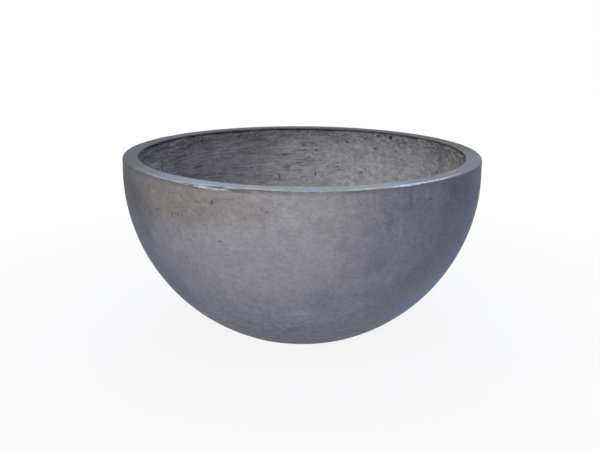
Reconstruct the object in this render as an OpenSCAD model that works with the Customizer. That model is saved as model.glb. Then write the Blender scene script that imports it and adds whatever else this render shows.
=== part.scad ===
// Round concrete bowl planter in glass-fibre cement, with a rubber drain plug.
// Sizes are millimetres. +Z is up, and the origin is the middle of the base, on the ground.
//
// The wall is laid up in a round mould, from the outside in: a smooth face coat that also turns
// over the rim, an outer backing coat, a layer of glass scrim and an inner backing coat laid by
// hand. Every coat follows the same outer form, set in by the thickness of the coats outside it.

/* [Bowl] */
// Widest outside diameter, on the ball that the side follows
outer_d = 600; // [500:5:800]
// Diameter at which the round side would meet the flat base
base_d = 240; // [180:5:300]
// Height of the rim above the widest line
rim_rise = 25; // [12:1:50]
// Radius that eases the side into the base
base_edge_r = 40; // [32:1:60]

/* [Coats] */
// Thickness of the face coat
face_t = 4; // [3:0.5:6]
// Thickness of the outer backing coat
outer_backing_t = 9; // [6:0.5:13]
// Thickness of the glass scrim
scrim_t = 1; // [0.6:0.1:2]
// Thickness of the inner backing coat
inner_backing_t = 9; // [6:0.5:13]

/* [Rim] */
// How far the rim stands in over the wall below it
rim_overhang = 2.5; // [1:0.5:6]
// Thickness of the face coat where it turns over the rim
rim_h = 4; // [4:0.5:12]
// Rounding of the rim's outer edge
outer_arris_r = 2.5; // [1:0.5:4]
// Rounding of the rim's inner edge
inner_arris_r = 1; // [0.5:0.5:3]

/* [Underside] */
// Diameter of the shallow dish around the drain hole
dish_d = 150; // [100:5:180]
// Depth of the dish and of the grooves that drain it
dish_h = 3; // [1.5:0.5:4]
// Width of each groove
groove_w = 14; // [8:1:24]
// Number of grooves
groove_count = 4; // [3:1:6]

/* [Drain hole] */
// Diameter of the drain hole
drain_d = 28; // [20:1:40]
// Depth of the seat sunk in the floor around the hole
seat_h = 2.5; // [1:0.5:4]
// Free space around the plug's flange in the seat
seat_gap = 2; // [1:0.5:4]

/* [Drain plug] */
// How far the flange laps over the floor around the hole
flange_lap = 8; // [5:0.5:14]
// Thickness of the flange
flange_t = 4.5; // [3:0.5:8]
// Rounding of the flange's top edge
flange_edge_r = 2; // [1:0.5:2.5]
// Free space between the sealing rings and the hole
plug_gap = 0.3; // [0.2:0.05:0.5]
// Radius of each sealing ring's section
ring_r = 2; // [1.5:0.1:2.5]
// How far a sealing ring stands out of the shank
ring_proud = 1.2; // [0.6:0.1:1.4]
// Height of the plug's tip above the ground
tip_rise = 1; // [0.5:0.5:1.5]
// Height of the tapered lead-in at the tip
lead_h = 5; // [3:0.5:6]
// How far the lead-in draws in
lead_in = 2.5; // [1:0.5:4]
// Radius of the neck under the pull knob
neck_r = 5; // [3:0.5:6]
// Height of the neck
neck_h = 4; // [2:0.5:8]
// Radius of the pull knob
knob_r = 8; // [7:0.5:10]

/* [Hidden] */

$fn = 180;
overrun = 1;                // how far a cut runs past what it cuts

// Depth of each coat's inner side below the outer form
outer_backing_in = face_t;
scrim_in = outer_backing_in + outer_backing_t;
inner_backing_in = scrim_in + scrim_t;
wall_t = inner_backing_in + inner_backing_t;
rim_w = wall_t + rim_overhang;

// The outer form: a ball, cut flat at the base and the rim
ball_r = outer_d / 2;
ball_z = sqrt(pow(ball_r, 2) - pow(base_d / 2, 2));
ball_centre = [0, ball_z];
rim_z = ball_z + rim_rise;
coats_top_z = rim_z - rim_h;

// Drain hole and seat. The floor lies one wall above the ground
floor_z = wall_t;
seat_z = floor_z - seat_h;
flange_d = drain_d + 2 * flange_lap;
seat_d = flange_d + 2 * seat_gap;

// Plug. It hangs from its flange, and its rings come up close to the hole
seal_r = drain_d / 2 - plug_gap;
shank_r = seal_r - ring_proud;
flange_top_z = seat_z + flange_t;
knob_z = flange_top_z + neck_h + sqrt(pow(knob_r, 2) - pow(neck_r, 2));
hole_bottom_z = dish_h;
// The two rings sit a third of the way in from each end of the hole
ring_heights = [for (share = [1 / 3, 2 / 3]) hole_bottom_z + share * (seat_z - hole_bottom_z)];

face_colour = [0.50, 0.50, 0.53];
backing_colour = [0.40, 0.40, 0.39];
scrim_colour = [0.86, 0.87, 0.82];
rubber_colour = [0.09, 0.09, 0.10];

function unit(v) = v / norm(v);

// Centre of a circle of radius r, at height z, whose distance from the ball's centre is reach
function on_ball(reach, z) = [sqrt(pow(reach, 2) - pow(z - ball_z, 2)), z];

// What a rounding of radius r about centre p takes off a corner between the directions a and b
module corner_waste(p, r, a, b) {
    translate(p)
        difference() {
            polygon([[0, 0], 2 * r * a, 2 * r * (a + b), 2 * r * b]);
            circle(r);
        }
}

// Half section of the outer form set in by depth t, up to the height top_z
module form_section(t, top_z) {
    edge = on_ball(ball_r - base_edge_r, base_edge_r);
    difference() {
        intersection() {
            translate(ball_centre) circle(ball_r - t);
            translate([0, t]) square([outer_d, top_z - t]);
        }
        corner_waste(edge, base_edge_r - t, [0, -1], unit(edge - ball_centre));
    }
}

// Half section of a coat that lies between two depths
module coat_section(outer_t, inner_t, top_z) {
    difference() {
        form_section(outer_t, top_z);
        form_section(inner_t, top_z + overrun);
    }
}

// The face coat turns over the rim, and both edges of the rim are eased
module face_section() {
    outer_edge = on_ball(ball_r - outer_arris_r, rim_z - outer_arris_r);
    inner_edge = on_ball(ball_r - rim_w + inner_arris_r, rim_z - inner_arris_r);
    difference() {
        union() {
            coat_section(0, face_t, rim_z);
            intersection() {
                coat_section(0, rim_w, rim_z);
                translate([0, coats_top_z]) square([outer_d, rim_h]);
            }
        }
        corner_waste(outer_edge, outer_arris_r, [0, 1], unit(outer_edge - ball_centre));
        corner_waste(inner_edge, inner_arris_r, [0, 1], unit(ball_centre - inner_edge));
    }
}

// The dish and its grooves, grown by depth t on every side
module underside_relief(t) {
    translate([0, 0, -overrun]) cylinder(d = dish_d + 2 * t, h = dish_h + t + overrun);
    for (i = [0:groove_count - 1])
        rotate(45 + i * 360 / groove_count)
            translate([0, -groove_w / 2 - t, -overrun])
                cube([ball_r, groove_w + 2 * t, dish_h + t + overrun]);
}

module drain_hole() {
    translate([0, 0, -overrun]) cylinder(d = drain_d, h = floor_z + 2 * overrun);
}

module plug_seat() {
    translate([0, 0, seat_z]) cylinder(d = seat_d, h = seat_h + overrun);
}

module face_coat() {
    color(face_colour)
        difference() {
            union() {
                rotate_extrude() face_section();
                intersection() {
                    rotate_extrude() form_section(0, rim_z);
                    underside_relief(face_t);
                }
            }
            underside_relief(0);
            drain_hole();
        }
}

module outer_backing() {
    color(backing_colour)
        difference() {
            rotate_extrude() coat_section(outer_backing_in, scrim_in, coats_top_z);
            underside_relief(face_t);
            drain_hole();
        }
}

module glass_scrim() {
    color(scrim_colour)
        difference() {
            rotate_extrude() coat_section(scrim_in, inner_backing_in, coats_top_z);
            drain_hole();
        }
}

module inner_backing() {
    color(backing_colour)
        difference() {
            rotate_extrude() coat_section(inner_backing_in, wall_t, coats_top_z);
            drain_hole();
            plug_seat();
        }
}

// Half section of the plug: flange, ringed shank with a tapered lead-in, and pull knob
module plug_section() {
    flange_edge = [flange_d / 2 - flange_edge_r, flange_top_z - flange_edge_r];
    difference() {
        translate([0, seat_z]) square([flange_d / 2, flange_t]);
        corner_waste(flange_edge, flange_edge_r, [0, 1], [1, 0]);
    }
    translate([0, tip_rise + lead_h]) square([shank_r, seat_z - tip_rise - lead_h + overrun]);
    polygon([
        [0, tip_rise],
        [shank_r - lead_in, tip_rise],
        [shank_r, tip_rise + lead_h],
        [0, tip_rise + lead_h]
    ]);
    for (z = ring_heights)
        translate([seal_r - ring_r, z]) circle(ring_r);
    translate([0, flange_top_z - overrun]) square([neck_r, neck_h + 2 * overrun]);
    intersection() {
        translate([0, knob_z]) circle(knob_r);
        translate([0, flange_top_z]) square([knob_r, knob_z + knob_r]);
    }
}

module drain_plug() {
    color(rubber_colour) rotate_extrude() plug_section();
}

face_coat();
outer_backing();
glass_scrim();
inner_backing();
drain_plug();
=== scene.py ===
"""The look of a hand-laid concrete bowl planter, built around its packed construction.

Everything is in metres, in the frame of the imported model: +Z is up, the origin is the middle of the
base, and the photograph looks along +Y, a little downwards.

The face coat and the inner coat are modelled again with the surface that hands, tools and use gave
them. The coats between them and the plug stay as they are. Every uneven thing is worked out from
smooth noise with fixed seeds, so that each run gives the same bowl.
"""

import itertools
import math

import bmesh
import bpy
import numpy as np
from mathutils import Matrix, Vector, kdtree


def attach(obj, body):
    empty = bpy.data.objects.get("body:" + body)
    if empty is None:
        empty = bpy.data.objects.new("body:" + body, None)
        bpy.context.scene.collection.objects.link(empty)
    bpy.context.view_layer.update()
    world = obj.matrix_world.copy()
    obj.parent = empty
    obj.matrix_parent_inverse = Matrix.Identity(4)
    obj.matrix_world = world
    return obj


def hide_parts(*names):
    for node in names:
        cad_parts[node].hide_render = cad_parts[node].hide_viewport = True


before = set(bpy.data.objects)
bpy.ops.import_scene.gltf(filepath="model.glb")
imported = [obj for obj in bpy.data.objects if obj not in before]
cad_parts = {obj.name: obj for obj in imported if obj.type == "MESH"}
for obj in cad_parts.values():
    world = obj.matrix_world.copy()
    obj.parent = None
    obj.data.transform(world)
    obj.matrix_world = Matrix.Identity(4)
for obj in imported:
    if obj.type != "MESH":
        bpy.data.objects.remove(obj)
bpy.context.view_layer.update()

MM = 0.001

# ---- The bowl's sizes, as in its construction ----

BALL_R = 300 * MM  # the ball that the side follows
BASE_R = 120 * MM  # where that ball would meet the ground
BALL_Z = math.sqrt(BALL_R**2 - BASE_R**2)
RIM_Z = BALL_Z + 25 * MM
BASE_EDGE_R = 40 * MM  # rounding between the base and the side

FACE_T = 4 * MM
INNER_OUT = 14 * MM  # depth of the inner coat's two sides below the outer form
INNER_IN = 23 * MM

LIP_IN = 25.5 * MM  # depth of the rim's inner edge below the outer form
LIP_T = 4 * MM  # the face coat's turn over the rim
LIP_EDGE_T = 2.2 * MM  # what is left of it at the rim's inner edge,
LIP_TAPER = 4.5 * MM  # and over what width it thins to that
INNER_ARRIS_R = 1 * MM
ARRIS_R = 1.3 * MM  # the rim's outer edge, worn crisper than its first rounding

DISH_R = 75 * MM
DISH_H = 3 * MM
GROOVE_W = 14 * MM
GROOVES = 4
GROOVE_TURN = 45  # degrees from +X to the first of them

HOLE_R = 14 * MM
SEAT_R = 24 * MM
SEAT_H = 2.5 * MM

COATS_TOP = RIM_Z - LIP_T
CENTRE = Vector((0, 0, BALL_Z))


def on_ball(reach, z):
    """The point of the half section at height z, this far from the ball's centre."""
    return math.sqrt(reach**2 - (z - BALL_Z) ** 2), z


def side_angle(reach, z):
    """Angle above the ball's centre, in degrees, of the point of a ball at height z."""
    return math.degrees(math.asin((z - BALL_Z) / reach))


BASE_EDGE = on_ball(BALL_R - BASE_EDGE_R, BASE_EDGE_R)  # middle of the base's rounding
FLAT_R = BASE_EDGE[0]  # where the flat of the base ends
SIDE_START = side_angle(BALL_R - BASE_EDGE_R, BASE_EDGE_R)

# ---- The photograph's camera ----

PHOTO_SIZE = (600, 450)  # pixels
FOCAL_PX = 883  # focal length, in pixels of the photograph
CAMERA_REACH = 1.506  # from the ball's centre
CAMERA_RISE = math.radians(11.05)  # of the camera above the ball's centre
LOOK_DOWN = math.radians(14.84)
LOOK_ASIDE = math.radians(-0.117)
ROLL = math.radians(0.337)
SENSOR = 36.0  # millimetres, as Blender counts them

camera_place = CENTRE + CAMERA_REACH * Vector((0, -math.cos(CAMERA_RISE), math.sin(CAMERA_RISE)))


def camera_axes():
    """Right, up and forward of the photograph's camera."""
    level = Vector((math.sin(LOOK_ASIDE), math.cos(LOOK_ASIDE), 0))
    forward = level * math.cos(LOOK_DOWN) - Vector((0, 0, math.sin(LOOK_DOWN)))
    right = forward.cross(Vector((0, 0, 1))).normalized()
    up = right.cross(forward)
    turn = Matrix.Rotation(-ROLL, 3, forward)
    return turn @ right, turn @ up, forward


def seen_on_ball(x, y, radius, far=False):
    """The point of a ball about CENTRE that the photograph shows at a pixel."""
    right, up, forward = camera_axes()
    aside = (x - PHOTO_SIZE[0] / 2) / FOCAL_PX
    above = (PHOTO_SIZE[1] / 2 - y) / FOCAL_PX
    ray = (forward + right * aside + up * above).normalized()
    start = camera_place - CENTRE
    half = start.dot(ray)
    root = math.sqrt(max(half**2 - start.length_squared + radius**2, 0))
    return camera_place + ray * (-half + (root if far else -root))


def photo_pixels(points):
    """The pixel at which the photograph shows each point, as two arrays."""
    right, up, forward = (np.array(axis) for axis in camera_axes())
    away = points - np.array(camera_place)
    depth = away @ forward
    x = PHOTO_SIZE[0] / 2 + FOCAL_PX * (away @ right) / depth
    y = PHOTO_SIZE[1] / 2 - FOCAL_PX * (away @ up) / depth
    return x, y


# ---- Smooth noise ----

# The usual large numbers of an integer hash: one for each axis, one for the seed, and the shifts
# and factors that mix their sum
AXIS_FACTORS = np.array([73856093, 19349663, 83492791], np.uint64)
SEED_FACTOR = np.uint64(2654435761)
MIXING = ((30, 0xBF58476D1CE4E5B9), (27, 0x94D049BB133111EB), (31, 1))
SEED_SHIFT = 7.31  # how far the lattice moves, in cells, from one seed to the next
LAYER_SEEDS = 13  # between the seeds of one layer and the next
CLOUD_GAIN = 1.4  # brings the noise to about -1 to 1


def lattice(cells, seed):
    """A fixed value from -1 to 1 for each lattice cell."""
    mixed = (cells.astype(np.int64).astype(np.uint64) * AXIS_FACTORS).sum(-1, dtype=np.uint64)
    mixed ^= np.uint64(seed) * SEED_FACTOR
    for shift, factor in MIXING:
        mixed = (mixed ^ (mixed >> np.uint64(shift))) * np.uint64(factor)
    return (mixed >> np.uint64(11)).astype(float) / 2**52 - 1


def cloud(points, size, seed):
    """Smooth noise from about -1 to 1, in lumps about as wide as size."""
    scaled = np.asarray(points, float) / size + seed * SEED_SHIFT
    cells = np.floor(scaled)
    share = scaled - cells
    share = share**3 * (share * (share * 6 - 15) + 10)
    total = np.zeros(len(scaled))
    for corner in itertools.product((0, 1), repeat=3):
        weight = np.where(corner, share, 1 - share).prod(-1)
        total += weight * lattice(cells + corner, seed)
    return total * CLOUD_GAIN


def layered(points, size, seed, layers=3, keep=0.5):
    """Noise with finer layers on top, each half as wide as the last and a share as high."""
    total = sum(keep**i * cloud(points, size / 2**i, seed + LAYER_SEEDS * i) for i in range(layers))
    return total / sum(keep**i for i in range(layers))


def smooth_step(value, low, high):
    """0 below low, 1 above high, and smooth between."""
    share = np.clip((value - low) / (high - low), 0, 1)
    return share * share * (3 - 2 * share)


def smooth_fall(value, low, high):
    """1 below low, 0 above high, and smooth between."""
    return smooth_step(-value, -high, -low)


# ---- Turned solids ----

SAME_PLACE = 1e-6  # a ring nearer than this to the last one is left out


def one_ring(r, z, columns, weight=1.0):
    """A list of one ring: its radius, height, number of corners and how uneven it may get."""
    return [(r, z, columns, weight)]


def arc(centre, radius, start, end, steps, columns, weight=1.0):
    """Rings along an arc about centre, a radius and a height, between two angles in degrees."""
    rings = []
    for i in range(steps + 1):
        angle = math.radians(start + (end - start) * i / steps)
        r = centre[0] + radius * math.cos(angle)
        z = centre[1] + radius * math.sin(angle)
        rings += one_ring(r, z, columns, weight)
    return rings


def flat(start, end, steps, columns, weight=1.0):
    """Rings along a straight line between two points of the half section."""
    rings = []
    for i in range(steps + 1):
        r, z = (a + (b - a) * i / steps for a, b in zip(start, end))
        rings += one_ring(r, z, columns, weight)
    return rings


def base_rounding(depth, columns, steps, weight):
    """Rings of the rounding between the flat base and the side, for a form set in by depth."""
    return arc(BASE_EDGE, BASE_EDGE_R - depth, -90, SIDE_START, steps, columns, weight)


def stitch(low, high):
    """Faces between two rings of corners, where one may have twice as many as the other."""
    faces = []
    n, m = len(low), len(high)
    steps = min(n, m)
    for j in range(steps):
        a, b = low[j * n // steps], high[j * m // steps]
        a_next, b_next = low[(j + 1) * n // steps % n], high[(j + 1) * m // steps % m]
        if n == m:
            faces.append((a, a_next, b_next, b))
        elif m > n:
            middle = high[2 * j + 1]
            faces += [(a, middle, b), (a, a_next, middle), (a_next, b_next, middle)]
        else:
            middle = low[2 * j + 1]
            faces += [(a, middle, b), (middle, b_next, b), (middle, a_next, b_next)]
    return faces


def add_object(name, corners, faces):
    """A new object of these corners and faces, in the scene."""
    mesh = bpy.data.meshes.new(name)
    mesh.from_pydata(corners, [], faces)
    piece = bpy.data.objects.new(name, mesh)
    bpy.context.scene.collection.objects.link(piece)
    return piece


def turned(name, rings):
    """A closed solid turned from a loop of rings."""
    pairs = zip(rings[-1:] + rings, rings)
    rings = [ring for last, ring in pairs if math.dist(ring[:2], last[:2]) > SAME_PLACE]
    corners, weights, places = [], [], []
    for r, z, columns, weight in rings:
        places.append(range(len(corners), len(corners) + columns))
        angles = np.arange(columns) * 2 * math.pi / columns
        corners += list(zip(r * np.cos(angles), r * np.sin(angles), [z] * columns))
        weights += [weight] * columns
    faces = []
    for low, high in zip(places, places[1:] + places[:1]):
        faces += stitch(low, high)
    piece = add_object(name, corners, faces)
    piece.data.attributes.new("uneven", "FLOAT", "POINT").data.foreach_set("value", weights)
    return piece


def finer(piece, spots, reach):
    """Splits the faces within reach of any of the spots."""
    work = bmesh.new()
    work.from_mesh(piece.data)
    tree = kdtree.KDTree(len(spots))
    for i, spot in enumerate(spots):
        tree.insert(spot, i)
    tree.balance()
    near = [f for f in work.faces if tree.find(f.calc_center_median())[2] < reach]
    edges = list(dict.fromkeys(e for f in near for e in f.edges))
    bmesh.ops.subdivide_edges(work, edges=edges, cuts=1, use_grid_fill=True)
    work.to_mesh(piece.data)
    work.free()


def read(mesh):
    """Corners, their outward directions and how uneven each may get, as arrays."""
    count = len(mesh.vertices)
    corners, normals, weights = np.zeros(count * 3), np.zeros(count * 3), np.zeros(count)
    mesh.vertices.foreach_get("co", corners)
    mesh.vertex_normals.foreach_get("vector", normals)
    mesh.attributes["uneven"].data.foreach_get("value", weights)
    return corners.reshape(-1, 3), normals.reshape(-1, 3), weights


def write(mesh, corners, **shades):
    """Moves the corners and stores a value at each, by name, for the materials."""
    mesh.vertices.foreach_set("co", corners.ravel())
    for name, values in shades.items():
        mesh.attributes.new(name, "FLOAT", "POINT").data.foreach_set("value", values)
    mesh.update()


def crisp(mesh, angle):
    """Smooth shading, with sharp edges where faces meet at more than an angle in degrees."""
    mesh.shade_smooth()
    mesh.set_sharp_from_angle(angle=math.radians(angle))


# ---- Pits ----

# Pits that the photograph shows: the pixel, and the pit's width, height and depth in millimetres
FACE_PITS = (
    (211.4, 203.1, 4.5, 7.0, 1.6),
    (195.7, 201.9, 6.0, 3.0, 1.2),
    (202.5, 200.2, 2.6, 2.2, 0.9),
    (200.6, 206.6, 2.4, 2.2, 0.9),
    (212.0, 214.9, 3.6, 2.2, 0.9),
    (171.9, 213.6, 2.6, 3.0, 1.4),
    (175.7, 214.6, 2.8, 2.6, 1.4),
    (178.0, 213.8, 3.0, 2.6, 1.4),
    (181.6, 214.9, 3.0, 2.6, 1.4),
    (169.0, 209.8, 2.4, 2.0, 1.0),
    (157.8, 209.2, 5.5, 3.0, 0.9),
    (143.8, 207.9, 3.6, 3.6, 0.8),
    (148.6, 206.4, 3.0, 2.6, 0.8),
    (266.9, 212.3, 6.5, 3.2, 1.0),
    (261.8, 210.2, 3.0, 2.4, 0.8),
    (231.8, 209.8, 3.0, 3.4, 0.6),
    (238.8, 197.7, 2.6, 3.0, 0.9),
    (219.7, 241.7, 4.2, 2.2, 1.6),
    (185.3, 230.2, 3.0, 3.4, 0.7),
    (186.3, 238.2, 3.0, 3.0, 0.7),
    (186.5, 257.6, 4.0, 3.0, 0.8),
    (252.6, 206.0, 1.8, 4.0, 0.8),
    (430.9, 199.2, 5.4, 5.4, 1.6),
    (327.2, 199.9, 2.8, 2.6, 1.0),
    (388.6, 213.4, 3.6, 2.4, 0.8),
    (385.0, 210.4, 3.0, 2.4, 0.7),
    (320.6, 220.6, 2.2, 2.2, 0.5),
    (380.5, 242.0, 3.2, 3.0, 0.6),
    (259.6, 309.8, 3.6, 2.8, 0.9),
    (248.9, 310.6, 2.6, 2.2, 0.7),
    (252.7, 284.5, 3.4, 2.8, 0.7),
    (292.6, 329.0, 6.0, 2.6, 0.7),
    (233.0, 302.0, 3.0, 2.4, 0.7),
    (369.1, 306.8, 2.6, 2.4, 0.9),
    (340.0, 319.0, 4.0, 2.4, 0.6),
)
INSIDE_PITS = (
    (275.8, 141.8, 4.0, 5.0, 2.2),
    (303.7, 145.6, 5.2, 3.4, 2.4),
    (316.1, 150.5, 4.6, 3.6, 2.6),
    (346.8, 142.2, 5.0, 3.6, 3.2),
    (390.1, 138.2, 8.0, 6.4, 3.6),
    (378.0, 136.0, 4.0, 3.6, 2.6),
    (374.2, 149.2, 4.4, 3.8, 1.8),
    (365.3, 169.2, 3.0, 4.4, 2.4),
    (361.4, 172.4, 5.0, 3.6, 2.4),
    (337.2, 166.7, 4.0, 3.0, 2.2),
    (337.8, 169.9, 4.2, 2.4, 2.0),
    (315.5, 174.3, 2.2, 8.0, 3.2),
    (279.6, 176.7, 2.0, 9.0, 2.4),
    (251.6, 167.3, 6.5, 3.0, 2.4),
    (161.7, 168.4, 3.4, 7.0, 2.6),
    (161.6, 163.4, 2.6, 5.0, 2.0),
    (436.7, 172.4, 4.4, 4.2, 3.6),
    (402.0, 171.0, 2.0, 7.0, 1.4),
    (451.4, 165.9, 3.0, 3.6, 2.4),
    (445.6, 157.1, 3.6, 3.4, 2.2),
    (320.6, 160.3, 4.0, 2.6, 1.6),
    (424.0, 161.5, 2.6, 2.4, 0.8),
    (254.0, 150.0, 4.0, 2.6, 1.6),
    (228.0, 158.5, 5.0, 2.4, 1.0),
    (200.0, 151.5, 5.0, 2.4, 0.8),
)


class Pit:
    """A small hollow at a place on a ball: half its width and height, and its depth."""

    def __init__(self, place, width, height, depth):
        self.place = place
        self.half_width = width / 2
        self.half_height = height / 2
        self.depth = depth
        out = (place - CENTRE).normalized()
        self.across = Vector((0, 0, 1)).cross(out).normalized()
        self.up = out.cross(self.across)


def photo_pits(listed, radius, far):
    """The pits that the photograph shows, on the near or the far side of a ball."""
    return [
        Pit(seen_on_ball(x, y, radius, far), width * MM, height * MM, depth * MM)
        for x, y, width, height, depth in listed
    ]


# Pits made up where the photograph doesn't show the surface: a seed, how many are drawn, between
# which heights, their least and greatest size, and their depth as a share of the size
FACE_STREWN = (5, 90, (60 * MM, RIM_Z - 9 * MM), (1.8 * MM, 5 * MM), 0.3)
INSIDE_STREWN = (8, 110, (60 * MM, COATS_TOP - 8 * MM), (2.4 * MM, 6 * MM), 0.4)
STRETCH = (0.75, 1.4)  # least and greatest, of a pit's width over its size
SHOWN_INSIDE_Z = 175 * MM  # above this height the photograph shows the inside


def outside_shown(place):
    return place.y < 0


def inside_shown(place):
    return place.y > 0 and place.z > SHOWN_INSIDE_Z


def chance_pits(radius, shown, seed, count, heights, sizes, depth_share):
    """Pits strewn over a ball between two heights, apart from where the photograph shows it."""
    random = np.random.default_rng(seed)
    pits = []
    for _ in range(count):
        turn = random.uniform(0, 2 * math.pi)
        z = random.uniform(*heights)
        r = math.sqrt(radius**2 - (z - BALL_Z) ** 2)
        size = sizes[0] + (sizes[1] - sizes[0]) * random.random() ** 2
        stretch = random.uniform(*STRETCH)
        place = Vector((r * math.cos(turn), r * math.sin(turn), z))
        if not shown(place):
            pits.append(Pit(place, size * stretch, size / stretch, size * depth_share))
    return pits


# Distances from a pit's middle, counted in its half widths
PIT_WALL = (0.35, 1.15)  # its floor ends and its edge lies here,
PIT_SHADOW = (0.7, 1.5)  # and its dark tone fades out here
PIT_REACH = 2.2  # within which corners are moved
PIT_RAGGED = 0.3  # the share by which these distances vary


def hollow_out(corners, pits, seed):
    """Depth of the pits at each corner, and their painted shade: 1 is the deepest pit's floor."""
    tree = kdtree.KDTree(len(corners))
    for i, corner in enumerate(corners):
        tree.insert(corner, i)
    tree.balance()
    depth, pit_shade = np.zeros(len(corners)), np.zeros(len(corners))
    deepest = max(pit.depth for pit in pits)
    for pit in pits:
        reach = max(pit.half_width, pit.half_height) * PIT_REACH
        near = np.array([i for _, i, _ in tree.find_range(pit.place, reach)], int)
        if not len(near):
            continue
        off = corners[near] - np.array(pit.place)
        across, up = off @ np.array(pit.across), off @ np.array(pit.up)
        away = np.hypot(across / pit.half_width, up / pit.half_height)
        ragged = away * (1 + PIT_RAGGED * cloud(corners[near], pit.half_height, seed))
        depth[near] = np.maximum(depth[near], pit.depth * smooth_fall(ragged, *PIT_WALL))
        pit_shade[near] = np.maximum(pit_shade[near], pit.depth / deepest * smooth_fall(ragged, *PIT_SHADOW))
    return depth, pit_shade


# ---- The face coat ----

FACE_COLUMNS = 560  # corners of a ring on the side
ARRIS_COLUMNS = 2 * FACE_COLUMNS
SIDE_STEP = 3.4 * MM  # between the rings on the side
HALVING_Z = 80 * MM  # below this height the rings have half as many corners
ARRIS_BAND = 9 * MM  # width of the rim's finer part, next to its outer edge

# Marks along the rim's outer edge, as the photograph shows them: pale chips of cement, painted shade
# where the edge has worn back, and painted glints of light on its worn, paler rounding. For each, the
# pixels that it runs through, half its width there, in pixels, and how strong it is
CHIPS = (
    (((193.5, 185.5), (202.0, 187.1), (210.0, 188.2)), 1.0, 0.9),
    (((209.5, 188.4), (217.0, 189.3), (226.5, 189.8)), 1.0, 0.85),
    (((184.5, 184.3), (188.5, 184.4)), 0.5, 0.4),
)
SHADED = (
    (((208.5, 186.5), (216.0, 187.2), (224.5, 187.5)), 0.7, 0.8),
    (((238.5, 188.6), (249.0, 190.2), (270.0, 191.2), (283.0, 191.4)), 0.8, 0.7),
    (((184.0, 185.6), (196.0, 187.6), (204.0, 188.9)), 0.7, 0.6),
    (((352.0, 191.8), (366.0, 191.2)), 0.7, 0.7),
    (((229.0, 190.2), (238.0, 191.6), (250.0, 192.2)), 1.4, 0.45),
)
GLINTS = (
    (((146.0, 172.8), (160.0, 177.4), (180.0, 182.3), (192.0, 183.7)), 0.8, 0.45),
    (((189.0, 183.2), (203.0, 184.7), (216.0, 185.5)), 0.8, 0.5),
    (((225.0, 187.0), (236.0, 188.4)), 0.8, 0.45),
    (((240.0, 187.7), (250.0, 188.4), (262.0, 189.1)), 0.9, 0.45),
    (((262.0, 189.9), (284.0, 190.4)), 0.8, 0.35),
    (((292.0, 191.3), (312.0, 191.4), (334.0, 190.9)), 0.8, 0.4),
    (((334.0, 190.9), (362.0, 189.5), (392.0, 186.6)), 0.8, 0.45),
    (((386.0, 187.6), (408.0, 185.1), (427.0, 181.9), (444.0, 178.2), (460.0, 172.8)), 1.0, 1.0),
)


def face_rings():
    """The face coat's half section, from the drain hole out, up, over the rim and back inside."""
    few, some, many = FACE_COLUMNS // 8, FACE_COLUMNS // 2, FACE_COLUMNS
    outer_arris = on_ball(BALL_R - ARRIS_R, RIM_Z - ARRIS_R)
    inner_arris = on_ball(BALL_R - LIP_IN + INNER_ARRIS_R, RIM_Z - INNER_ARRIS_R)
    halving = side_angle(BALL_R, HALVING_Z)
    side_end = side_angle(BALL_R - ARRIS_R, RIM_Z - ARRIS_R)
    arris_start = side_end - math.degrees(3 * SIDE_STEP / BALL_R)
    middle = (0, BALL_Z)

    def steps(start, end):
        return round(math.radians(end - start) * BALL_R / SIDE_STEP)

    # The dish, the flat of the base and the side
    rings = flat((HOLE_R, DISH_H), (HOLE_R * 2, DISH_H), 1, few, 0)
    rings += one_ring(DISH_R * 0.6, DISH_H, few * 2, 0)
    rings += flat((DISH_R, DISH_H), (DISH_R, 0), 1, some, 0)
    rings += flat((DISH_R, 0), (FLAT_R, 0), 3, some, 0)
    rings += base_rounding(0, some, 6, 0.3)
    rings += arc(middle, BALL_R, SIDE_START, halving, steps(SIDE_START, halving), some)
    rings += arc(middle, BALL_R, halving, arris_start, steps(halving, arris_start), many)
    rings += arc(middle, BALL_R, arris_start, side_end, 12, ARRIS_COLUMNS)
    # The rim
    rings += arc(outer_arris, ARRIS_R, side_end, 90, 4, ARRIS_COLUMNS)
    rim_out, rim_in = outer_arris[0], inner_arris[0]
    rings += flat((rim_out, RIM_Z), (rim_out - ARRIS_BAND, RIM_Z), 6, ARRIS_COLUMNS)
    rings += flat((rim_out - ARRIS_BAND, RIM_Z), (rim_in, RIM_Z), 4, many)
    rings += arc(inner_arris, INNER_ARRIS_R, 90, 180, 3, many, 0.5)
    lip_r = rim_in - INNER_ARRIS_R
    rings += flat((lip_r, RIM_Z - LIP_EDGE_T), (lip_r + LIP_TAPER, COATS_TOP), 2, many, 0.3)
    # The back of the coat
    inner_r = BALL_R - FACE_T
    rings += arc(middle, inner_r, side_angle(inner_r, COATS_TOP), SIDE_START, 24, some, 0)
    rings += base_rounding(FACE_T, some // 2, 3, 0)[::-1]
    rings += flat((DISH_R + FACE_T, FACE_T), (DISH_R + FACE_T, DISH_H + FACE_T), 1, some // 2, 0)
    rings += one_ring(HOLE_R, DISH_H + FACE_T, few, 0)
    return rings


BOX_FACES = ((0, 1, 3, 2), (4, 6, 7, 5), (0, 4, 5, 1), (2, 3, 7, 6), (0, 2, 6, 4), (1, 5, 7, 3))


def groove_bars(low, high):
    """A bar for each groove of the underside, between two corners of a box along +X."""
    box = [Vector(corner) for corner in itertools.product(*zip(low, high))]
    corners, faces = [], []
    for i in range(GROOVES):
        turn = Matrix.Rotation(math.radians(GROOVE_TURN + i * 360 / GROOVES), 3, "Z")
        faces += [tuple(len(corners) + c for c in face) for face in BOX_FACES]
        corners += [turn @ corner for corner in box]
    return add_object("groove_bars", corners, faces)


def combine(piece, other, operation):
    """Cuts the other object out of the piece, or adds it, and deletes it."""
    step = piece.modifiers.new(operation, "BOOLEAN")
    step.operation = operation
    step.solver = "EXACT"
    step.object = other
    evaluated = piece.evaluated_get(bpy.context.evaluated_depsgraph_get())
    piece.data = bpy.data.meshes.new_from_object(evaluated)
    piece.modifiers.remove(step)
    bpy.data.objects.remove(other)


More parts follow.
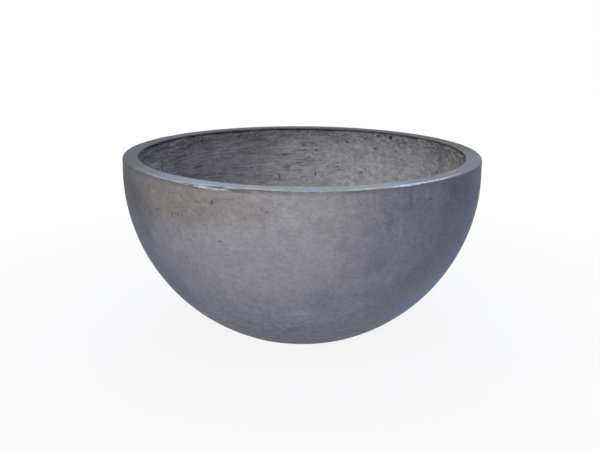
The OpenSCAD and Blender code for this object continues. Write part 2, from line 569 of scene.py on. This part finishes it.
# A line's edge falls between these shares of its half width, ragged by another share. Its ends keep
# a share of its strength, and it has its full strength a share of its length further in
LINE_EDGE = (0.4, 1.2)
LINE_RAGGED = 0.35
LINE_END = 0.35
LINE_FADE = 0.3
LINE_PAST = -1.0  # pixels, past its ends


def along_lines(corners, lines, seed):
    """How much each corner is on one of the photograph's lines, which fade out at their ends."""
    shown = np.stack(photo_pixels(corners), axis=1)
    ragged = LINE_RAGGED * cloud(corners, 4 * MM, seed)
    result = np.zeros(len(corners))
    for places, half_width, strength in lines:
        places = np.array(places)
        away = np.full(len(corners), np.inf)
        for start, end in itertools.pairwise(places):
            span = end - start
            share = np.clip((shown - start) @ span / (span @ span), 0, 1)
            away = np.minimum(away, np.hypot(*(shown - start - share[:, None] * span).T))
        to_end = np.minimum(shown[:, 0] - places[0, 0], places[-1, 0] - shown[:, 0])
        full = smooth_step(to_end, LINE_PAST, LINE_FADE * np.ptp(places[:, 0]))
        faded = strength * (LINE_END + (1 - LINE_END) * full)
        result = np.maximum(result, faded * smooth_fall(away / half_width + ragged, *LINE_EDGE))
    return result


EDGE_WEAR_REACH = 2.2 * MM  # how far the wear reaches from the rim's outer edge
RIM_MARK_IN = 30 * MM  # the marks lie within this of the edge,
RIM_MARK_DOWN = 9 * MM  # and no further than this below the rim
GLINT_IN = (-9 * MM, -4 * MM)  # where the glints start, from the edge inwards
CHIP_DEPTH = 0.8 * MM
SHADED_DEPTH = 0.5 * MM
SHADED_DOWN = 4 * MM  # how far below the rim this depth fades out


def bell(value, reach):
    """1 at 0, and fading out on both sides within about twice the reach."""
    return np.exp(-((value / reach) ** 2))


def rim_wear_and_glints(corners):
    """How much the rim's outer edge has worn back, and where it shows each kind of mark: pale chips,
    painted shade where it has worn back, and painted glints of light on its worn, paler rounding.
    """
    level = corners.copy()
    level[:, 2] = 0
    edge = np.hypot(level[:, 0], level[:, 1]) - on_ball(BALL_R, RIM_Z)[0]
    drop = RIM_Z - corners[:, 2]
    near = bell(edge, EDGE_WEAR_REACH) * bell(drop, EDGE_WEAR_REACH)
    front = (corners[:, 1] < 0) & (np.abs(edge) < RIM_MARK_IN) & (drop < RIM_MARK_DOWN)
    chip, shaded, glint = (
        along_lines(corners, lines, seed) * front
        for lines, seed in ((CHIPS, 51), (SHADED, 52), (GLINTS, 53))
    )
    glint *= smooth_step(edge, *GLINT_IN) * (0.85 + 0.3 * cloud(level, 5 * MM, seed=54))
    # Painted glints along the back of the rim's edge as well
    behind = near * (corners[:, 1] > 0)
    glint = np.maximum(glint, behind * smooth_step(layered(level, 30 * MM, seed=44), 0.0, 0.7))
    wear = 0.1 + 0.25 * smooth_step(layered(level, 9 * MM, seed=41), 0.0, 0.9)
    wear += 0.35 * smooth_step(layered(level, 14 * MM, seed=43), 0.55, 1.0)
    depth = near * wear * MM + CHIP_DEPTH * chip + SHADED_DEPTH * shaded * bell(drop, SHADED_DOWN)
    return depth, chip, shaded, np.clip(glint, 0, 1)


# The slow waves of the cast face: depth, width, seed and number of layers
FACE_WAVES = ((0.25 * MM, 120 * MM, 11, 1), (0.1 * MM, 34 * MM, 12, 1), (0.04 * MM, 9 * MM, 14, 3))
RIM_WAVES = 0.35  # the share of them that the rim has
SIDE_TOP = (RIM_Z - 12 * MM, RIM_Z - 4 * MM)  # between these heights the side's waves and pits end
SHARP_CAST = 40  # degrees between faces, from which an edge is sharp
PIT_SPLIT = 4.2 * MM  # faces within this of a pit are made finer
SMALL_PIT = 2.6 * MM  # the same once more, for pits of less than this half width


def make_face_coat():
    piece = turned("bowl_face_coat", face_rings())
    pits = photo_pits(FACE_PITS, BALL_R, far=False)
    pits += chance_pits(BALL_R, outside_shown, *FACE_STREWN)
    finer(piece, [pit.place for pit in pits], PIT_SPLIT)
    finer(piece, [pit.place for pit in pits if pit.half_width < SMALL_PIT], SMALL_PIT)
    corners, normals, uneven = read(piece.data)
    depth, pit_shade = hollow_out(corners, pits, seed=3)
    on_side = smooth_fall(corners[:, 2], *SIDE_TOP)
    waves = sum(deep * (1 + layered(corners, *wave)) for deep, *wave in FACE_WAVES)
    waves *= np.where(on_side > 0, on_side, RIM_WAVES)
    wear, chip, shaded, glint = rim_wear_and_glints(corners)
    inwards = uneven * (waves + depth * on_side + wear)
    moved = corners - normals * inwards[:, None]
    # pit holds the painted shade of the pits
    write(piece.data, moved, pit=pit_shade * on_side, chip=chip, shaded=shaded, glint=glint)
    crisp(piece.data, SHARP_CAST)
    return piece


SKIN_LOW = DISH_H + 0.5 * MM  # the skin over the grooves starts inside the coat
SKIN_OUT = FLAT_R + 7 * MM  # and ends inside the base's rounding
CUT_IN = 0.94 * DISH_R  # the cut starts inside the dish,
CUT_LOW = -10 * MM  # and below the ground


def cut_underside(piece):
    """Cuts the grooves out of the base, below a skin as thick as the rest of the coat."""
    half = GROOVE_W / 2
    skin = groove_bars(
        (DISH_R + FACE_T / 2, -half - FACE_T, SKIN_LOW),
        (SKIN_OUT, half + FACE_T, DISH_H + FACE_T),
    )
    combine(piece, skin, "UNION")
    cut = groove_bars((CUT_IN, -half, CUT_LOW), (BALL_R, half, DISH_H))
    combine(piece, cut, "DIFFERENCE")
    crisp(piece.data, SHARP_CAST)


# ---- The inner coat ----

INSIDE_COLUMNS = 768  # corners of a ring where the photograph shows the inside
SHARP_LAID = 60  # degrees between faces, from which an edge is sharp
LAID_PIT_SPLIT = 4.5 * MM  # faces within this of a pit are made finer
SWERVE = (80 * MM, 4 * MM)  # how long and how high the brush marks swerve
BRUSHED_TO = 110 * MM  # the brushed half and the dabbed half blend within this of the middle


def inside_rings():
    """The inner coat's half section, from the drain hole along its hidden side, and back inside."""
    few, some, many = INSIDE_COLUMNS // 8, INSIDE_COLUMNS // 2, INSIDE_COLUMNS
    out_r, in_r = BALL_R - INNER_OUT, BALL_R - INNER_IN
    top_r = on_ball(in_r, COATS_TOP)[0]
    top, shown = side_angle(in_r, COATS_TOP), side_angle(in_r, SHOWN_INSIDE_Z)
    middle = (0, BALL_Z)
    rings = one_ring(HOLE_R, INNER_OUT, few, 0)
    rings += base_rounding(INNER_OUT, few, 3, 0)
    rings += arc(middle, out_r, SIDE_START, side_angle(out_r, COATS_TOP), 24, few * 2, 0)
    rings += flat((top_r + 3 * MM, COATS_TOP), (top_r, COATS_TOP), 1, some, 0.6)
    rings += arc(middle, in_r, top, shown, 68, many)
    rings += arc(middle, in_r, shown, SIDE_START, 66, some)
    rings += base_rounding(INNER_IN, some // 2, 3, 1)[::-1]
    rings += flat((FLAT_R, INNER_IN), (SEAT_R + 4 * MM, INNER_IN), 24, some // 2, 0.6)
    rings += flat((SEAT_R + 1 * MM, INNER_IN), (SEAT_R, INNER_IN), 1, few, 0)
    rings += flat((SEAT_R, INNER_IN - SEAT_H), (HOLE_R, INNER_IN - SEAT_H), 2, few, 0)
    return rings


def drawn_out(points, size, stretch, seed, layers=3):
    """Noise in level streaks that swerve, and are longer than they are tall."""
    place = points.copy()
    place[:, 2] += SWERVE[1] * layered(points, SWERVE[0], seed + 5, 2)
    place[:, :2] /= stretch
    return layered(place, size, seed, layers, 0.6)


def lay_inside(points):
    """Height of the hand-laid surface at each point, in metres, and how much of it is texture.

    The left half was brushed, in ledges and long strokes, and the right half was dabbed on. Both
    are rougher below the rim.
    """
    rough = 0.55 + 0.45 * smooth_step(layered(points, 50 * MM, seed=70), -0.5, 0.5)
    rough += 1.1 * smooth_step(points[:, 2], COATS_TOP - 26 * MM, COATS_TOP - 4 * MM)
    brushed = smooth_fall(points[:, 0], -BRUSHED_TO, BRUSHED_TO)
    patchy = smooth_step(layered(points, 38 * MM, seed=71), -0.1, 0.6)
    ledges = np.tanh(5 * drawn_out(points, 16 * MM, 3.2, 72))
    strokes = drawn_out(points, 8 * MM, 4.5, 73)
    dabs = drawn_out(points, 9 * MM, 1.9, 76)
    crumbs = layered(points, 5.5 * MM, seed=74, layers=2, keep=0.8)
    swell = 1.0 * MM * cloud(points, 100 * MM, seed=75)
    height = swell + (0.3 + 0.8 * brushed) * MM * patchy * ledges
    height += 1.6 * MM * rough * brushed * strokes
    height += 1.2 * MM * rough * (1 - brushed) * dabs
    height += (1.3 - 0.8 * brushed) * MM * rough * crumbs
    return height, height - swell


def under_lip(corners):
    """Depth of the ragged gap that the inner coat leaves under the rim."""
    around = corners.copy()
    around[:, 2] = 0
    drop = COATS_TOP - corners[:, 2]
    tall = (0.8 + 1.8 * smooth_step(layered(around, 18 * MM, seed=81), -0.4, 0.8)) * MM
    tall += 4 * MM * smooth_step(cloud(around, 8 * MM, seed=82), 0.6, 1.1)
    deep = np.clip(1.5 + 1.9 * layered(around, 22 * MM, seed=83), 0.2, 3.0) * MM
    return deep * smooth_fall(drop, tall * 0.5, tall + 2.2 * MM)


def make_inner_coat():
    piece = turned("bowl_inner_coat", inside_rings())
    in_r = BALL_R - INNER_IN
    pits = photo_pits(INSIDE_PITS, in_r, far=True)
    pits += chance_pits(in_r, inside_shown, *INSIDE_STREWN)
    finer(piece, [pit.place for pit in pits], LAID_PIT_SPLIT)
    corners, normals, uneven = read(piece.data)
    depth, pit_shade = hollow_out(corners, pits, seed=4)
    height, texture = lay_inside(corners)
    gap = under_lip(corners)
    off_axis = np.hypot(corners[:, 0], corners[:, 1])
    calm = smooth_step(off_axis, SEAT_R + 2 * MM, SEAT_R + 30 * MM)
    outwards = uneven * (height * calm - depth - gap)
    # pit, gap and hollow hold where the inside is darkened by painted shade: in its pits, in the gap
    # under the rim, and in the low parts of its surface
    write(
        piece.data,
        corners + normals * outwards[:, None],
        pit=pit_shade,
        gap=smooth_step(gap, 0.4 * MM, 2.2 * MM) * np.clip(uneven * 2, 0, 1),
        hollow=smooth_fall(texture, -1.2 * MM, 0.6 * MM),
    )
    crisp(piece.data, SHARP_LAID)
    return piece


# ---- Materials ----


def shade(red, green, blue):
    """A colour as a picture shows it, from 0 to 255, turned into linear light."""
    parts = [c / 255 for c in (red, green, blue)]
    return [*(c / 12.92 if c <= 0.04045 else ((c + 0.055) / 1.055) ** 2.4 for c in parts), 1]


class Nodes:
    """The nodes of a material or a world."""

    def __init__(self, tree):
        self.tree = tree

    def add(self, kind, inputs=None, **settings):
        node = self.tree.nodes.new("ShaderNode" + kind)
        for key, value in settings.items():
            setattr(node, key, value)
        for key, value in (inputs or {}).items():
            self.give(node.inputs[key], value)
        return node

    def give(self, socket, value):
        if isinstance(value, bpy.types.NodeSocket):
            self.tree.links.new(value, socket)
        else:
            socket.default_value = value

    def math(self, operation, first, second):
        return self.add("Math", {0: first, 1: second}, operation=operation).outputs[0]

    def times(self, first, second):
        return self.math("MULTIPLY", first, second)

    def white_for_camera(self, other, kind, share):
        """The other shader, of which the camera and reflections see a share as a white glow."""
        rays = self.add("LightPath").outputs
        seen = self.math("MAXIMUM", rays["Is Camera Ray"], rays["Is Glossy Ray"])
        seen = self.times(self.math("MAXIMUM", seen, rays["Is Transmission Ray"]), share)
        white = self.add(kind, {"Color": WHITE, "Strength": WHITE_STRENGTH}).outputs[0]
        return self.add("MixShader", {0: seen, 1: other, 2: white}).outputs[0]


PATCH_CORE = 0.35  # the share of its reach within which a patch has its full strength
PATCH_RAGGED = 8 * MM  # its edge is ragged by this and by its core's reach


class Recipe(Nodes):
    """A material made one call at a time. Each call returns what its last node gives out."""

    def __init__(self, name):
        self.material = bpy.data.materials.new(name)
        self.material.use_nodes = True
        super().__init__(self.material.node_tree)
        self.shader = self.tree.nodes["Principled BSDF"]
        self.place = self.add("TexCoord").outputs["Object"]

    def stored(self, name):
        """What the mesh holds under a name, at each corner."""
        return self.add("Attribute", attribute_name=name).outputs["Fac"]

    def stretched(self, scale, turn):
        """Places for noise whose lumps are longer along the axes with a small scale."""
        inputs = {"Vector": self.place, "Scale": scale, "Rotation": turn}
        return self.add("Mapping", inputs).outputs["Vector"]

    def noise(self, size, detail=2.0, rough=0.5, place=None, warp=0.0):
        """Noise around 0.5, in lumps of a size, with finer layers on top."""
        inputs = {
            "Vector": place or self.place,
            "Scale": 1 / size,
            "Detail": detail,
            "Roughness": rough,
            "Distortion": warp,
        }
        return self.add("TexNoise", inputs).outputs["Fac"]

    def swing(self, noise, reach):
        """The noise moved to swing about 0, times its reach."""
        return self.times(self.math("SUBTRACT", noise, 0.5), reach)

    def ramp(self, value, low, high, to_low=0.0, to_high=1.0):
        """The value from low to high as a smooth step from to_low to to_high."""
        ends = {"From Min": low, "From Max": high, "To Min": to_low, "To Max": to_high}
        node = self.add("MapRange", {"Value": value, **ends}, interpolation_type="SMOOTHSTEP")
        return node.outputs["Result"]

    def mix(self, share, first, second, blend="MIX"):
        node = self.add("Mix", data_type="RGBA", blend_type=blend)
        for socket, value in zip((0, 6, 7), (share, first, second)):
            self.give(node.inputs[socket], value)
        return node.outputs[2]

    def vary(self, colour, noise, strength):
        """The colour made lighter where the noise is above 0.5, and darker where it is below."""
        level = self.math("ADD", self.swing(noise, strength), 1.0)
        grey = self.add("CombineColor", {0: level, 1: level, 2: level}).outputs[0]
        return self.mix(1.0, colour, grey, "MULTIPLY")

    def patch(self, middle, reach, squash, noise):
        """1 in the core around a place, falling to 0 at its reach, with a ragged edge."""
        away = self.add("VectorMath", {0: self.place, 1: middle}, operation="SUBTRACT")
        away = self.add("VectorMath", {0: away.outputs[0], 1: squash}, operation="MULTIPLY")
        away = self.add("VectorMath", {0: away.outputs[0]}, operation="LENGTH")
        core = reach * PATCH_CORE
        edge = self.swing(noise, core + PATCH_RAGGED)
        return self.ramp(self.math("ADD", away.outputs["Value"], edge), reach, core)

    def patched(self, colour, patches, radius, noise, far=False):
        """The colour with patches of other tones, on a ball where the photograph shows them."""
        for pixel, reach, squash, tone, strength in patches:
            share = self.patch(seen_on_ball(*pixel, radius, far), reach * MM, squash, noise)
            colour = self.mix(self.times(share, strength), colour, tone)
        return colour

    def pinholes(self, cell, share, size):
        """Tiny round holes strewn over the surface: 1 in a hole and 0 between."""
        inputs = {"Vector": self.place, "Scale": 1 / cell, "Randomness": 1.0}
        holes = self.add("TexVoronoi", inputs)
        parts = self.add("SeparateColor", {0: holes.outputs["Color"]})
        radius = self.ramp(parts.outputs[0], 1 - share, 1.0, 0.0, size / cell)
        inside = self.math("SUBTRACT", radius, holes.outputs["Distance"])
        return self.ramp(inside, 0.0, 0.5 * size / cell)

    def along(self, axis):
        """The distance along an axis, in metres."""
        return self.add("SeparateXYZ", {"Vector": self.place}).outputs[axis]

    def bump(self, heights):
        """Bumps from pairs of a value and its height in metres, one over the other."""
        below = {}
        for value, rise in heights:
            inputs = {"Height": value, "Distance": rise, "Strength": 1.0, **below}
            below = {"Normal": self.add("Bump", inputs).outputs["Normal"]}
        self.give(self.shader.inputs["Normal"], below["Normal"])

    def finish(self, colour, roughness, specular):
        self.give(self.shader.inputs["Base Color"], colour)
        self.give(self.shader.inputs["Roughness"], roughness)
        self.shader.inputs["Specular IOR Level"].default_value = specular
        return self.material


ROUND = (1, 1, 1)  # a patch that isn't squashed

# Patches of another tone that the photograph shows on the outside. The small ones and the warm one at
# the upper left are stains and streaks; the broad ones are painted shade on the flanks, a painted
# bluish reflection on the lower flanks and painted light in the middle, and the dark one at the upper
# left limb is both a stain and painted shade. Columns: the pixel of the middle, how far it reaches in
# millimetres, how it is squashed along each axis, its colour, and how strong it is
FACE_STAIN_AND_SHADE_PATCHES = (
    ((255, 238), 170, ROUND, shade(158, 153, 152), 0.8),
    ((182, 202), 160, (1, 1, 3.4), shade(140, 131, 122), 0.8),
    ((120, 188), 190, (1, 1, 2.0), shade(88, 83, 80), 0.95),
    ((134, 248), 150, ROUND, shade(105, 107, 119), 0.8),
    ((176, 288), 80, ROUND, shade(110, 113, 128), 0.6),
    ((452, 214), 215, (1, 1, 0.9), shade(119, 117, 126), 0.95),
    ((462, 186), 60, ROUND, shade(92, 90, 98), 0.7),
    ((482, 205), 170, ROUND, shade(104, 107, 119), 0.7),
    ((428, 298), 140, ROUND, shade(146, 150, 170), 0.78),
    ((396, 256), 75, ROUND, shade(142, 141, 151), 0.4),
    ((472, 262), 130, ROUND, shade(114, 118, 136), 0.7),
    ((400, 238), 62, (12, 12, 1), shade(160, 160, 166), 0.22),
    ((389, 279), 40, (5, 5, 1), shade(150, 150, 158), 0.3),
    ((373, 268), 24, ROUND, shade(104, 103, 110), 0.4),
    ((301, 317), 30, ROUND, shade(164, 162, 172), 0.38),
    ((322, 300), 30, ROUND, shade(122, 120, 127), 0.45),
    ((411, 197), 11, (1.6, 1.6, 0.5), shade(104, 100, 104), 0.5),
    ((388, 212), 14, (1, 1, 1.4), shade(120, 119, 124), 0.5),
    ((292, 330), 16, (1, 1, 1.2), shade(112, 112, 118), 0.5),
    ((320, 221), 9, ROUND, shade(118, 117, 122), 0.3),
)

# Painted sheen on the rim, paler and bluer towards the front: the pixel of the middle, how far it
# reaches, and its colour
RIM_SHEEN_PATCHES = (
    ((478, 158), 200, shade(116, 120, 133)),
    ((282, 190), 330, shade(148, 153, 166)),
)

# Where the side has dark specks, and where it is most even: pixel, reach and squash, as above
PEPPERED = ((160, 208), 120, (1, 1, 4.5))
EVEN = ((272, 232), 190, ROUND)


def face_concrete():
    """Smooth cast concrete, sealed and a little worn: fine speckle over a slow change of tone, with
    painted shade and light in its broad patches, painted sheen on the rim and painted glints on its
    edge.
    """
    r = Recipe("cast_concrete")
    height = r.along("Z")
    broad = r.noise(170 * MM, 2)
    cloudy = r.noise(50 * MM, 1, 0.9, warp=0.3)
    speckle = r.noise(16 * MM, 5, 0.95, warp=0.3)
    tint = r.noise(12 * MM, 3, 0.8, warp=0.5)
    lines = r.noise(4 * MM, 3, 0.7, r.stretched((0.35, 0.35, 1.0), (0.06, 0.04, 0)))
    runs = r.noise(5 * MM, 3, 0.7, r.stretched((1, 1, 0.14), (-0.05, 0.05, 0)))
    grain = r.noise(1.7 * MM, 2, 0.6)
    colour = r.mix(r.ramp(broad, 0.35, 0.65), shade(143, 139, 138), shade(146, 141, 139))
    colour = r.mix(r.ramp(height, RIM_Z, 0.0), colour, shade(143, 140, 144))
    colour = r.patched(colour, FACE_STAIN_AND_SHADE_PATCHES, BALL_R, cloudy)
    foot = r.math("ADD", height, r.swing(speckle, 90 * MM))
    colour = r.mix(r.ramp(foot, 85 * MM, 0.0, 0.0, 0.12), colour, shade(108, 107, 114))
    scuffed = r.times(r.ramp(height, 1.2 * MM, 0.2 * MM), r.ramp(speckle, 0.42, 0.6, 0.1, 0.7))
    colour = r.mix(scuffed, colour, shade(164, 162, 158))
    cool = r.mix(1.0, colour, shade(226, 238, 255), "MULTIPLY")
    colour = r.mix(r.ramp(tint, 0.35, 0.65, 0.0, 0.25), colour, cool)
    colour = r.vary(colour, cloudy, 0.16)
    near_rim = r.ramp(height, RIM_Z - 100 * MM, RIM_Z - 20 * MM, 1.0, 1.4)
    low_down = r.ramp(height, 130 * MM, 30 * MM, 1.0, 2.3)
    even, pepper = (
        r.patch(seen_on_ball(*pixel, BALL_R), reach * MM, squash, cloudy)
        for pixel, reach, squash in (EVEN, PEPPERED)
    )
    strength = r.times(r.math("MAXIMUM", near_rim, low_down), r.ramp(even, 0, 1, 1.0, 0.58))
    colour = r.vary(colour, speckle, strength)
    colour = r.vary(colour, lines, r.times(near_rim, 0.45))
    colour = r.vary(colour, runs, r.times(low_down, 0.36))
    colour = r.vary(colour, grain, 0.5)
    # Pinholes, darkened with painted shade
    holes = r.pinholes(6 * MM, 0.3, 0.9 * MM)
    colour = r.mix(r.times(holes, 0.4), colour, shade(84, 82, 82))
    specks = r.times(r.pinholes(3.6 * MM, 0.7, 1.9 * MM), r.ramp(speckle, 0.4, 0.5))
    colour = r.mix(r.times(r.times(specks, pepper), 0.62), colour, shade(50, 46, 43))
    band = r.ramp(height, RIM_Z - 10 * MM, RIM_Z - 3 * MM)
    band = r.times(band, r.ramp(speckle, 0.42, 0.56, 0.25, 0.8))
    colour = r.mix(band, colour, shade(102, 97, 94))
    # The rim's darker, bluish tone at the back, with painted sheen towards the front
    rim = shade(80, 84, 95)
    for pixel, reach, tone in RIM_SHEEN_PATCHES:
        share = r.patch(seen_on_ball(*pixel, BALL_R), reach * MM, ROUND, cloudy)
        rim = r.mix(share, rim, tone)
    rim = r.vary(r.vary(rim, speckle, 1.0), grain, 0.4)
    colour = r.mix(r.ramp(height, RIM_Z - 2.2 * MM, RIM_Z - 1.3 * MM), colour, rim)
    # Painted glints of light on the rim's worn, paler edge, and painted shade where the edge has worn
    # back
    colour = r.mix(r.stored("glint"), colour, shade(222, 229, 244))
    colour = r.mix(r.stored("shaded"), colour, shade(88, 86, 88))
    colour = r.mix(r.stored("chip"), colour, shade(214, 213, 205))
    # Painted shade in the pits
    colour = r.mix(r.times(r.stored("pit"), 0.6), colour, shade(66, 63, 62))
    r.bump([(speckle, 0.6 * MM), (lines, 0.1 * MM), (grain, 0.1 * MM), (holes, -0.3 * MM)])
    return r.finish(colour, r.ramp(speckle, 0.4, 0.6, 0.52, 0.66), 0.12)


def rough_concrete(name, pale, patches=()):
    """Hand-laid backing, streaked by the brush, with painted shade under its ledges: the recipe, the
    colour and the patches' noise.
    """
    r = Recipe(name)
    broad = r.noise(130 * MM, 2)
    ragged = r.noise(40 * MM, 2, 0.7)
    speckle = r.noise(30 * MM, 6, 0.8, warp=0.4)
    streaks = r.noise(3.4 * MM, 4, 0.65, r.stretched((0.3, 0.3, 1.0), (0.1, 0.07, 0)), 0.7)
    pebbles = r.noise(4.2 * MM, 2, 0.6)
    grain = r.noise(1.6 * MM, 2, 0.7)
    bluish = shade(pale - 4, pale - 4, pale)
    colour = r.mix(r.ramp(broad, 0.38, 0.62), shade(pale, pale - 1, pale), bluish)
    colour = r.patched(colour, patches, BALL_R - INNER_IN, ragged, far=True)
    brushed = r.ramp(r.along("X"), 150 * MM, -90 * MM)
    brushed = r.times(brushed, r.ramp(r.along("Z"), 60 * MM, 160 * MM))
    strokes = r.noise(3.6 * MM, 3, 0.75, r.stretched((0.13, 0.13, 1.0), (0.05, 0.04, 0)), 0.2)
    # Painted shade under the brushed ledges
    ledge_shade = r.times(r.ramp(strokes, 0.4, 0.32), r.ramp(brushed, 0.1, 0.8))
    strokes = r.swing(strokes, brushed)
    colour = r.vary(r.vary(colour, speckle, 1.0), streaks, 0.8)
    colour = r.vary(colour, r.math("ADD", strokes, 0.5), 1.2)
    colour = r.mix(r.times(ledge_shade, 0.75), colour, shade(66, 65, 66))
    colour = r.vary(colour, grain, 1.3)
    pebbles = r.times(pebbles, r.ramp(brushed, 0.0, 1.0, 1.0, 0.45))
    r.bump([(pebbles, 1.3 * MM), (streaks, 1.6 * MM), (strokes, 3.5 * MM), (grain, 0.5 * MM)])
    return r, colour, ragged


# Painted shade and light on the far wall of the inside, darker to the left and lighter to the right:
# patches in the same columns as above
INSIDE_SHADE_PATCHES = (
    ((212, 152), 182, ROUND, shade(133, 132, 139), 1.0),
    ((148, 158), 70, ROUND, shade(158, 157, 166), 0.7),
    ((392, 158), 165, ROUND, shade(184, 183, 184), 0.5),
    ((458, 158), 75, ROUND, shade(204, 198, 188), 0.6),
)


def inner_concrete():
    """The backing inside the bowl, darker below the rim by a painted shadow and specked there, with
    painted shade in its pinholes, hollows and pits, and painted shade with dirt in the gap under the
    rim.
    """
    r, colour, ragged = rough_concrete("inner_concrete", 166, INSIDE_SHADE_PATCHES)
    level = r.math("ADD", r.along("Z"), r.swing(ragged, 50 * MM))
    shadow = r.ramp(level, COATS_TOP - 55 * MM, COATS_TOP, 0.0, 0.32)
    colour = r.mix(shadow, colour, shade(94, 92, 92))
    specks = r.ramp(r.noise(5 * MM, 3, 0.8), 0.5, 0.62)
    specks = r.times(specks, r.ramp(level, COATS_TOP - 34 * MM, COATS_TOP - 4 * MM, 0.0, 0.75))
    colour = r.mix(specks, colour, shade(64, 59, 56))
    # Painted shade in the pinholes, the hollows and the pits, and painted shade with dirt in the gap
    # under the rim
    for mark, strength, tone in (
        (r.pinholes(7 * MM, 0.5, 1.3 * MM), 0.5, shade(70, 68, 66)),
        (r.stored("hollow"), 0.3, shade(96, 95, 95)),
        (r.stored("gap"), 0.75, shade(70, 66, 63)),
        (r.stored("pit"), 0.9, shade(46, 43, 42)),
    ):
        colour = r.mix(r.times(mark, strength), colour, tone)
    return r.finish(colour, 0.75, 0.3)


def backing_concrete():
    """The outer backing, which no side shows."""
    r, colour, _ = rough_concrete("hidden_concrete", 128)
    return r.finish(colour, 0.85, 0.3)


def scrim_glass():
    """Glass strands in cement: pale threads both ways."""
    r = Recipe("scrim_glass")
    inputs = {"Vector": r.place, "Scale": 60.0, "Distortion": 1.0}
    threads = (r.add("TexWave", inputs, bands_direction=axis).outputs["Fac"] for axis in "XY")
    threads = r.math("MAXIMUM", *threads)
    colour = r.mix(r.ramp(threads, 0.7, 0.95), shade(120, 119, 112), shade(196, 196, 186))
    r.bump([(threads, 0.2 * MM)])
    return r.finish(colour, 0.7, 0.4)


def plug_rubber():
    """Black rubber with a little cement dust on it."""
    r = Recipe("plug_rubber")
    dust = r.noise(9 * MM, 4, 0.6)
    grain = r.noise(0.8 * MM, 2)
    colour = r.mix(r.ramp(dust, 0.5, 0.8, 0.0, 0.5), shade(38, 38, 40), shade(86, 85, 83))
    r.bump([(grain, 0.03 * MM), (dust, 0.1 * MM)])
    return r.finish(colour, r.ramp(dust, 0.3, 0.7, 0.5, 0.75), 0.4)


def dress(piece, material):
    piece.data.materials.clear()
    piece.data.materials.append(material)


# ---- The floor, the light and the camera ----

FLOOR_HALF = 8.0
FLOOR_COLOUR = (0.71, 0.76, 0.88, 1)
# Two distances from the middle, and the share of white that is seen there
FLOOR_WHITE = {"From Min": 0.25, "From Max": 0.9, "To Min": 0.88, "To Max": 1.0}
WHITE = (1, 1, 1, 1)
WHITE_STRENGTH = 1.0  # at which a colour is seen as it is written
SKY = (0.08, 0.11, 0.18, 1)

# Soft lamps that look at the bowl: degrees to the right of the camera's side, degrees up, width,
# height and power, and the light's colour
LAMPS = {
    "key": (-10, 25, 1.8, 1.6, 60, (1.0, 0.98, 0.94)),
    "overhead": (0, 75, 2.0, 2.0, 16, (1.0, 0.98, 0.95)),
    "back": (180, 52, 1.8, 1.2, 40, (0.95, 0.97, 1.0)),
    "right": (115, 14, 1.6, 1.0, 10, (0.9, 0.95, 1.0)),
}
LAMP_REACH = 3.2  # from the ball's centre


def make_floor():
    """A pale floor that the camera sees as white, apart from the bowl's faint shadow around it."""
    corners = [(x * FLOOR_HALF, y * FLOOR_HALF, 0) for x, y in ((-1, -1), (1, -1), (1, 1), (-1, 1))]
    floor = add_object("floor", corners, [(0, 1, 2, 3)])
    r = Recipe("floor")
    away = r.add("VectorMath", {0: r.place}, operation="LENGTH").outputs["Value"]
    share = r.add("MapRange", {"Value": away, **FLOOR_WHITE}).outputs["Result"]
    seen = r.white_for_camera(r.shader.outputs[0], "Emission", share)
    r.give(r.tree.nodes["Material Output"].inputs["Surface"], seen)
    dress(floor, r.finish(FLOOR_COLOUR, 1.0, 0.0))


def make_world():
    """A soft bluish sky that the camera sees as white."""
    world = bpy.data.worlds.new("world")
    world.use_nodes = True
    bpy.context.scene.world = world
    nodes = Nodes(world.node_tree)
    sky = world.node_tree.nodes["Background"]
    nodes.give(sky.inputs["Color"], SKY)
    seen = nodes.white_for_camera(sky.outputs[0], "Background", 1.0)
    nodes.give(world.node_tree.nodes["World Output"].inputs["Surface"], seen)


def make_lamp(name, turn, rise, width, height, power, colour):
    """A soft lamp that looks at the bowl."""
    lamp = bpy.data.lights.new(name, "AREA")
    lamp.shape = "RECTANGLE"
    lamp.size = width
    lamp.size_y = height
    lamp.energy = power
    lamp.color = colour
    turn, rise = math.radians(turn), math.radians(rise)
    level = math.cos(rise)
    back = Vector((math.sin(turn) * level, -math.cos(turn) * level, math.sin(rise)))
    holder = bpy.data.objects.new(name, lamp)
    holder.location = CENTRE + back * LAMP_REACH
    holder.rotation_mode = "QUATERNION"
    holder.rotation_quaternion = (-back).to_track_quat("-Z", "Y")
    bpy.context.scene.collection.objects.link(holder)


def make_camera():
    data = bpy.data.cameras.new("camera")
    data.sensor_fit = "HORIZONTAL"
    data.sensor_width = SENSOR
    data.lens = SENSOR * FOCAL_PX / PHOTO_SIZE[0]
    camera = bpy.data.objects.new("camera", data)
    right, up, forward = camera_axes()
    turn = Matrix((right, up, -forward)).transposed()
    camera.matrix_world = Matrix.Translation(camera_place) @ turn.to_4x4()
    bpy.context.scene.collection.objects.link(camera)
    bpy.context.scene.camera = camera


# ---- The whole ----

make_camera()
make_floor()
make_world()
for name, settings in LAMPS.items():
    make_lamp(name, *settings)

face = make_face_coat()
cut_underside(face)
dress(face, face_concrete())
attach(face, "bowl")
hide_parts("face_coat")

inside = make_inner_coat()
dress(inside, inner_concrete())
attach(inside, "bowl")
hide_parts("inner_backing")

dress(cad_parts["outer_backing"], backing_concrete())
dress(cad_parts["glass_scrim"], scrim_glass())
dress(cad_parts["drain_plug"], plug_rubber())

bpy.context.scene.view_settings.view_transform = "Standard"
